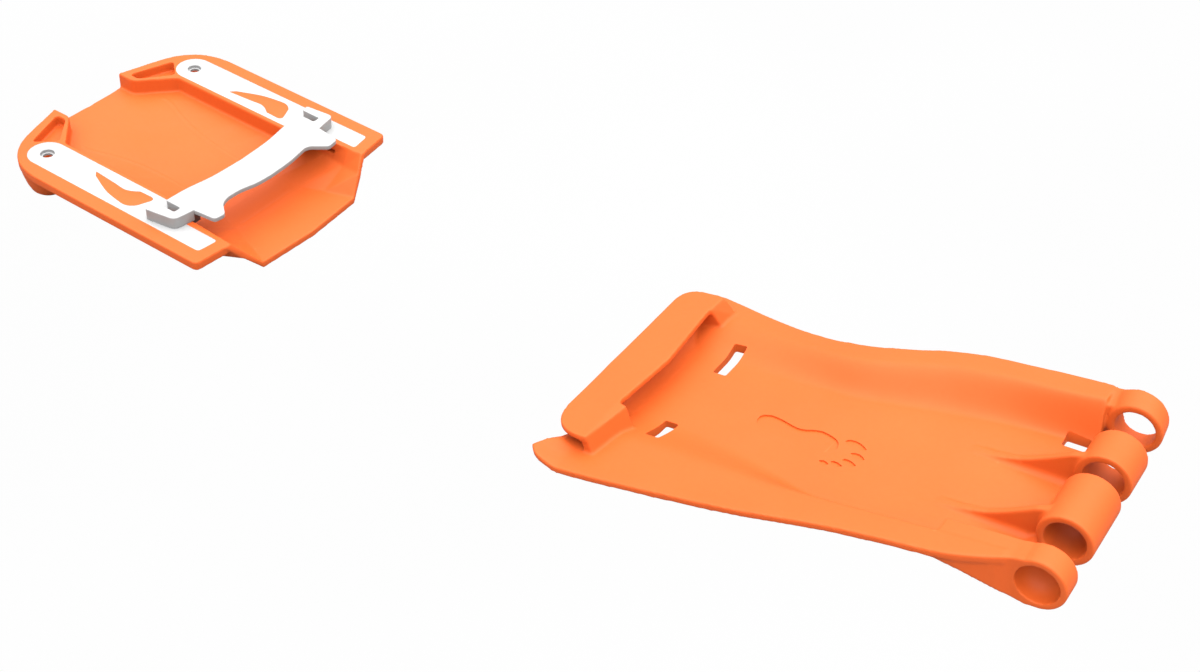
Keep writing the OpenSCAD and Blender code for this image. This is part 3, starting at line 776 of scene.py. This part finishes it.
def catch():
    top = CATCH_TOP
    bar = prism(catch_outline(), top - CATCH_T, top)
    # wall under the bar, its front face hollowed
    wall = across(-36.2, 48.4, [
        (-214, top - 1), (-214, -2), (-200, -2), (-200, 0.3), (-203.4, 0.8),
        (-206.4, 2.1), (-208.8, 4.4), (-210, 7.4), (-210.4, top - 1)])
    right_end = block(
        [(-200.4, -61, 3.2), (-195.8, -61, 3.2), (-190.9, -34.5, -2), (-194.9, -34.5, -2)],
        [(-203, -60.6, top - 0.1), (-198.8, -61, top - 0.1),
         (-195.3, -34.2, top - 0.6), (-199.6, -33, top - 0.1)])
    right_side = block(
        [(-213, -38, -2), (-192, -38, -2), (-190.8, -34.4, -2), (-213, -35, -2)],
        [(-213, -36.5, top - 0.6), (-197, -36.5, top - 0.6),
         (-195.6, -33.8, top - 0.6), (-213, -33.5, top - 0.6)])
    left_end = block(
        [(-199, 50, -2), (-194, 49.6, -2), (-194, 60.4, 4.5), (-199, 60.4, 4.5)],
        [(-203, 47, top - 0.1), (-200.2, 46.8, top - 0.1),
         (-199.2, 58.8, top - 1), (-203, 58.8, top - 1)])
    left_side = block(
        [(-213, 46, -2), (-194.2, 49.8, -2), (-194.2, 53, -2), (-213, 51, -2)],
        [(-213, 45, top - 0.6), (-200.3, 46.6, top - 0.6),
         (-200.1, 50, top - 0.6), (-213, 50, top - 0.6)])
    return merge(bar, wall, right_end, right_side, left_end, left_side)


# ------------------------------------------------------------ hinge knuckles, webs, ribs
def right_web():
    """Web that carries the right end knuckle."""
    outer, inner = -KNUCKLE_RIGHT_END[0], KNUCKLE_RIGHT_END[1]
    rings = []
    for x, low in ((-42, 6), (-30, 1.4), (-16, -6.9), (-10.6, -10.6), (-5, -12.1), (0, -11.98)):
        high = (math.sqrt(KNUCKLE_R * KNUCKLE_R - x * x) - 0.02 if x > -9
                else flange_z(x) - 0.4)
        edge = outer if x > -11 else right_edge(x) - 0.1
        rings.append([(x, -edge, high), (x, inner, high), (x, inner, low),
                      (x, -(outer + (edge - outer) * 0.9), low)])
    return loft(rings)


def low_web(knuckle):
    """Web joining a knuckle to the front edge of the sole."""
    z = sole_z(-17)
    return across(*knuckle, [(-17, z), (-11.5, -5), (-9.5, 0), (-3, 0), (0, -KNUCKLE_R),
                             (-6, -KNUCKLE_R + 0.3), (-17, z - PLATE_T)])


def left_end_web():
    """Block joining the left end knuckle to the shell."""
    y0, y1 = KNUCKLE_LEFT_END[0] + 1.6, KNUCKLE_LEFT_END[1]
    return block([(-15, y0, -8.4), (0, y0, -11.8), (0, y1, -11.4), (-20, 70.6, 7.2)],
                 [(-20, y0, 6.4), (0, y0, 10.6), (0, y1, 12.4), (-20, 70.9, 10.45)])


def left_end_knuckle():
    """End knuckle, swelling upward to its outer face where the flange runs over it."""
    y0, y1 = KNUCKLE_LEFT_END
    angles = np.linspace(0, 2 * math.pi, 128, endpoint=False)
    return loft([[(x + r * math.cos(a), y, z + r * math.sin(a)) for a in angles]
                 for y, x, z, r in ((y0, 0, 0, KNUCKLE_R), (y1, -1.3, 1.4, KNUCKLE_R + 0.6))])


def rib(y, shift):
    """Rib behind a knuckle with fillet strips at its foot; shift moves its tail forward."""
    width = 3.8
    plate = across(y, y + width, [
        (-58 + shift, sole_z(-58) + 0.1), (-49 + shift, -4.3), (-42.2 + shift, -3.4),
        (-36.2 + shift, -2.2), (-30.7 + shift * 0.8, -0.2), (-25.2 + shift * 0.5, 2.1),
        (-19.8 + shift * 0.3, 4.6), (-13.8, 7.4), (-8, 8.9), (-8, 0), (-10, -9),
        (-48 + shift, -7)])
    return merge(plate, rib_fillet(y, -1), rib_fillet(y + width, 1))


def rib_fillet(y, side):
    """Fillet strip along one face of a rib; side is 1 on its left, -1 on its right."""
    rings = []
    for x, width, height in ((-56, 0.8, 0.4), (-43, 1.9, 1.5), (-30, 2.6, 2.2), (-12, 3.0, 2.6)):
        z = sole_z(x)
        profile = [(-0.3, z + height), (0.05, z + height), (0.21 * width, z + height * 0.42),
                   (width, z - 0.05), (width, z - 1), (-0.3, z - 1)]
        ring = [(x, y + side * out, level) for out, level in profile]
        rings.append(ring if side > 0 else ring[::-1])
    return loft(rings)


def stub_cutter():
    """Blind bore in the right end knuckle: a straight wall, then a dished end."""
    end_y, dish, steps = KNUCKLE_RIGHT_END[1] - 1.8, 7.6, 10
    profile = [(STUB_R, KNUCKLE_RIGHT_END[0] - 5), (STUB_R, end_y - dish)]
    for k in range(1, steps + 1):
        angle = math.pi / 2 * k / steps
        profile.append((STUB_R - dish + dish * math.cos(angle),
                        end_y - dish + dish * math.sin(angle)))
    return turned_y(profile)


# ------------------------------------------------------------ pictogram of a bare right foot
# Sole mark: x, right edge y, left edge y, height over the plate at the right edge
SOLE = [
    (-149.05, -0.6, 1.6, -0.4), (-148.5, -2.4, 2.7, -0.3), (-147.6, -4, 3.5, -0.12),
    (-146, -5.2, 4.2, 0.02), (-144.5, -5.9, 4.6, 0.02), (-140.9, -6.2, 4.4, 0.02),
    (-136.9, -5.9, 3.6, 0.02), (-132.9, -6, 2.6, 0.02), (-130.1, -6.6, 2.2, 0.02),
    (-126.9, -7.6, 2.7, 0.02), (-123.5, -8.6, 4.3, 0.02), (-119.8, -9, 5.2, 0.02),
    (-116, -8.6, 4.6, 0.02), (-113, -7.4, 3.6, 0.02), (-111, -6.2, 2.4, -0.05),
    (-109.6, -4.8, 0.7, -0.2), (-108.7, -3.2, -1.6, -0.35)]
# Left edge of each toe mark, big toe first: x, y
TOES = [
    [(-107.8, 3.6), (-107.4, 4.8), (-106.2, 5.7), (-103.7, 5.9), (-100.9, 5.2),
     (-98.6, 3.9), (-96.9, 2.6)],
    [(-102.1, -2.5), (-100.4, -1.5), (-98.3, -1.5), (-96.2, -2.5), (-94.8, -3.8)],
    [(-103.2, -8.1), (-102.7, -7), (-100.9, -6.9), (-98.6, -7.5), (-96.2, -9)],
    [(-107.1, -11.3), (-106.1, -10.4), (-104, -10.6), (-101.3, -11.8)],
    [(-111.8, -12.9), (-110.2, -12.1), (-108.6, -12.4), (-107.1, -13.3)]]


def toe_cutter(line):
    """Full depth along the toe's left edge, running out to nothing on its right."""
    line = np.array(line)
    lengths = np.r_[0, np.cumsum(np.hypot(*np.diff(line, axis=0).T))]
    stops = np.linspace(0, lengths[-1], max(len(line) * 3, 12))
    xs, ys = np.interp(stops, lengths, line[:, 0]), np.interp(stops, lengths, line[:, 1])
    middle_x = (xs[0] + xs[-1]) / 2
    rings = []
    for k, (x, y) in enumerate(zip(xs, ys)):
        t = k / (len(stops) - 1)
        reach = TOE_REACH * math.sin(math.pi * (0.06 + 0.88 * t))
        chord_y = line[0][1] * (1 - t) + line[-1][1] * t
        right_x, right_y = middle_x + (x - middle_x) * 0.9, min(y - 0.6, chord_y - reach)
        depth = TOE_PRESS * min(1.0, 6 * min(t, 1 - t) + 0.35)
        rings.append([(x, y, 4), (right_x, right_y, 4),
                      (right_x, right_y, top_z(right_x, right_y) + 0.02),
                      (x, y, top_z(x, y) - depth)])
    return loft(rings)


def sole_cutter(steps=48):
    """Full depth along the sole mark's left edge, running out on its right."""
    right, left, height = (curve(*[(s[0], s[column]) for s in SOLE]) for column in (1, 2, 3))
    start, end = SOLE[0][0], SOLE[-1][0]
    rings = []
    for k in range(steps + 1):
        x = start + (end - start) * (0.5 - 0.5 * math.cos(math.pi * k / steps))
        r, l = right(x), left(x)
        rings.append([(x, l, 4), (x, r, 4), (x, r, top_z(x, r) + min(height(x), 0.02)),
                      (x, l, top_z(x, l) - SOLE_PRESS)])
    return loft(rings)


def build_plate():
    knuckles = [turned_y([(KNUCKLE_R, y) for y in knuckle])
                for knuckle in (KNUCKLE_LEFT, KNUCKLE_RIGHT, KNUCKLE_RIGHT_END)]
    plate = mesh_object(
        "foot_plate_moulding", plate_shell(), catch(), *knuckles, left_end_knuckle(),
        low_web(KNUCKLE_LEFT), low_web(KNUCKLE_RIGHT), left_end_web(), right_web(),
        rib(KNUCKLE_LEFT[0] + 1.4, 0), rib(KNUCKLE_RIGHT[0] + 5.5, 1))
    voxel(plate, 0.65)
    bore = turned_y([(BORE_R, KNUCKLE_RIGHT[0] - 9), (BORE_R, KNUCKLE_LEFT_END[1] + 10)])
    cut(plate, bore, stub_cutter())
    blend_moulding(plate, 0.55)
    heel_windows = [prism(rectangle(-181.6, y, 3.5, half_y), -20, 40)
                    for y, half_y in ((31, 10.5), (-28.6, 8.3))]
    hinge_windows = [prism(rectangle(-21, y, 5.5, 3.7), -30, 30) for y in (47.6, -29)]
    cut(plate, *heel_windows, *hinge_windows, sole_cutter(), *map(toe_cutter, TOES))
    finish_piece(plate, PLATE_PLACE, "plate", "orange_nylon", "foot_plate", sharp_deg=40)


# ------------------------------------------------------------ CAD pieces
def paint_node(node, material):
    part = frame["nodes"][node]
    part.data.materials.clear()
    part.data.materials.append(MATERIALS[material])
    return part


def dress_cad():
    """Bevel and colour the CAD pieces that stay, and colour those that are replaced."""
    for node, material in (("latch_runner_left", "grey_acetal"),
                           ("latch_runner_right", "grey_acetal"),
                           ("runner_screws", "zinc_steel")):
        bevel = paint_node(node, material).modifiers.new("rim", "BEVEL")
        bevel.width = 0.0002
        bevel.segments = 2
        bevel.limit_method = "ANGLE"
        bevel.angle_limit = math.radians(40)
    for node in ("heel_tray", "rail_inlay_left", "rail_inlay_right", "foot_plate"):
        paint_node(node, "orange_nylon")
    for node in ("glide_rail_left", "glide_rail_right", "latch_bar"):
        paint_node(node, "white_acetal")


# ------------------------------------------------------------ floor, light, camera
def build_floor():
    """Floor that the camera sees as clean white but that bounces a soft grey."""
    material, tree = blank_material("studio_floor")
    coords = add_node(tree, "TexCoord").outputs["Object"]
    cloud = noise(tree, coords, scale=3.0, detail=2.0)
    grey = ramp(tree, cloud, [(0.3, [0.21] * 3), (0.7, [0.23] * 3)])
    white = ramp(tree, cloud, [(0.3, [0.985] * 3), (0.7, [1.0] * 3)])
    matt = add_node(tree, "BsdfPrincipled",
                    {"Base Color": grey, "Roughness": 0.9, "Specular IOR Level": 0.0})
    glow = add_node(tree, "Emission", {"Color": white})
    camera_ray = add_node(tree, "LightPath").outputs["Is Camera Ray"]
    mix = add_node(tree, "MixShader", {0: camera_ray, 1: matt.outputs[0], 2: glow.outputs[0]})
    add_node(tree, "OutputMaterial", {"Surface": mix.outputs[0]})
    bpy.ops.mesh.primitive_grid_add(x_subdivisions=4, y_subdivisions=4, size=40,
                                    location=(0, 0, CAD_BOX[0][2] - 0.0005))
    floor = bpy.context.active_object
    floor.name = "studio_floor"
    floor.data.materials.append(material)


def light_world():
    """Overhead soft box: brightest at the zenith, falling away to the horizon."""
    horizon, zenith_gain, falloff = 0.40, 3.36, 2.0
    world = bpy.data.worlds.new("studio")
    world.use_nodes = True
    tree = world.node_tree
    direction = add_node(tree, "TexCoord").outputs["Generated"]
    up = add_node(tree, "SeparateXYZ", {0: direction}).outputs["Z"]
    rise = calculate(tree, "POWER", calculate(tree, "MAXIMUM", up, 0.0), falloff)
    set_inputs(tree, tree.nodes["Background"], {
        "Color": (1.0, 1.0, 1.0, 1),
        "Strength": calculate(tree, "MULTIPLY_ADD", rise, zenith_gain, horizon)})
    bpy.context.scene.world = world


def place_camera():
    data = bpy.data.cameras.new("camera")
    camera = bpy.data.objects.new("camera", data)
    bpy.context.scene.collection.objects.link(camera)
    data.sensor_width, data.lens = 36.0, 49.5
    data.clip_start, data.clip_end = 0.02, 60
    # world X and Y in the camera's right, down and forward axes, made square
    world_x = np.array([0.8263, 0.4135, -0.3825])
    world_y = np.array([0.559, -0.5186, 0.6469])
    world_x /= np.linalg.norm(world_x)
    world_y -= world_x * (world_x @ world_y)
    world_y /= np.linalg.norm(world_y)
    turn = np.c_[world_x, world_y, np.cross(world_x, world_y)]
    right, down, forward = turn
    # where the camera sees a point of the hinge axis, mm right, down and forward
    seen_at = np.array([171.984, 88.584, 632.772])
    hinge_point = np.array([0, -36.9, 0])
    eye = hinge_point - turn.T @ seen_at
    rows = [(right[i], -down[i], -forward[i], eye[i] / 1000) for i in range(3)]
    camera.matrix_world = Matrix((*rows, (0, 0, 0, 1)))
    bpy.context.scene.camera = camera
    bpy.context.scene.view_settings.view_transform = "Standard"


build_tray()
build_rail("left", 1)
build_rail("right", -1)
build_latch()
build_plate()
dress_cad()
build_floor()
light_world()
place_camera()
